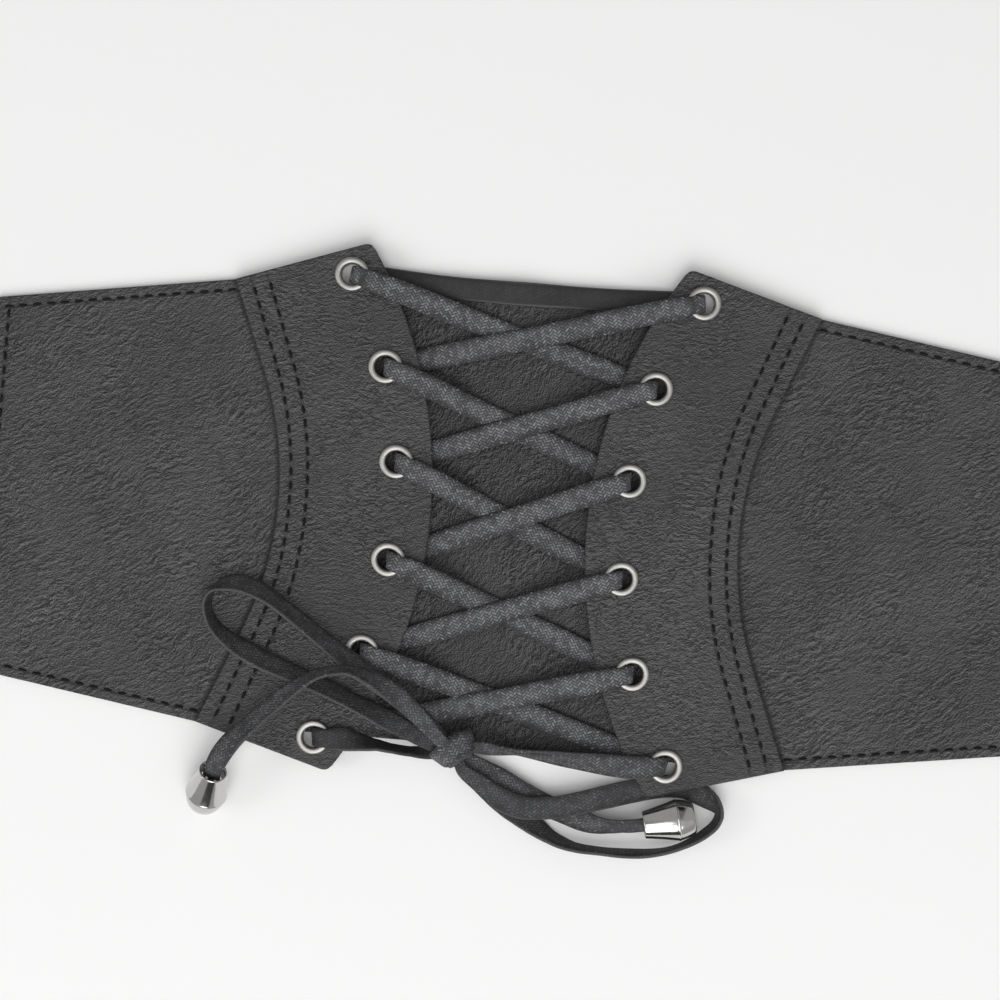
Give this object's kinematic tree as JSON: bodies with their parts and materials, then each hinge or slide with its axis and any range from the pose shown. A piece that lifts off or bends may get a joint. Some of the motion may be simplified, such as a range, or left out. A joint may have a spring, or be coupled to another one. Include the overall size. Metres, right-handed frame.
{
  "type": "wide laced waist belt",
  "caption": "Wide leather waist belt with two curved eyelet flaps laced together over a tongue, a flat lace tied in a bow with metal bell tips, and elastic back bands",
  "frame": {"origin": "middle of the belt, on the surface that it lies on", "axes": "+X runs along the belt towards its right end as seen from the front, +Y up the belt's height, +Z out of its front face, away from the surface it lies on"},
  "size_m": [0.68, 0.1483, 0.0192],
  "materials": {
    "leather": "black leather with a fine pebbled grain and a slight satin sheen",
    "tongue_leather": "black leather with a fine pebbled grain, duller than the flaps",
    "elastic": "black ribbed elastic webbing, matt",
    "clasp": "black hook strip, matt",
    "eyelet_metal": "satin nickel",
    "lace": "flat braided lace, dark grey, lightly waxed",
    "tip_metal": "polished dark nickel"
  },
  "bodies": {
    "root": {"tongue": "tongue_leather", "side_panel_left": "leather", "side_panel_right": "leather", "flap_left": "leather", "flap_right": "leather", "end_tab_left": "leather", "end_tab_right": "leather", "elastic_left": "elastic", "elastic_right": "elastic", "clasp_strip": "clasp", "eyelet_left_1": "eyelet_metal", "eyelet_left_2": "eyelet_metal", "eyelet_left_3": "eyelet_metal", "eyelet_left_4": "eyelet_metal", "eyelet_left_5": "eyelet_metal", "eyelet_left_6": "eyelet_metal", "eyelet_right_1": "eyelet_metal", "eyelet_right_2": "eyelet_metal", "eyelet_right_3": "eyelet_metal", "eyelet_right_4": "eyelet_metal", "eyelet_right_5": "eyelet_metal", "eyelet_right_6": "eyelet_metal", "lace": "lace", "bow_knot": "lace", "bow_loop_left": "lace", "bow_loop_right": "lace", "tail_left": "lace", "tail_right": "lace", "tip_left": "tip_metal", "tip_right": "tip_metal"}
  },
  "joints": []
}
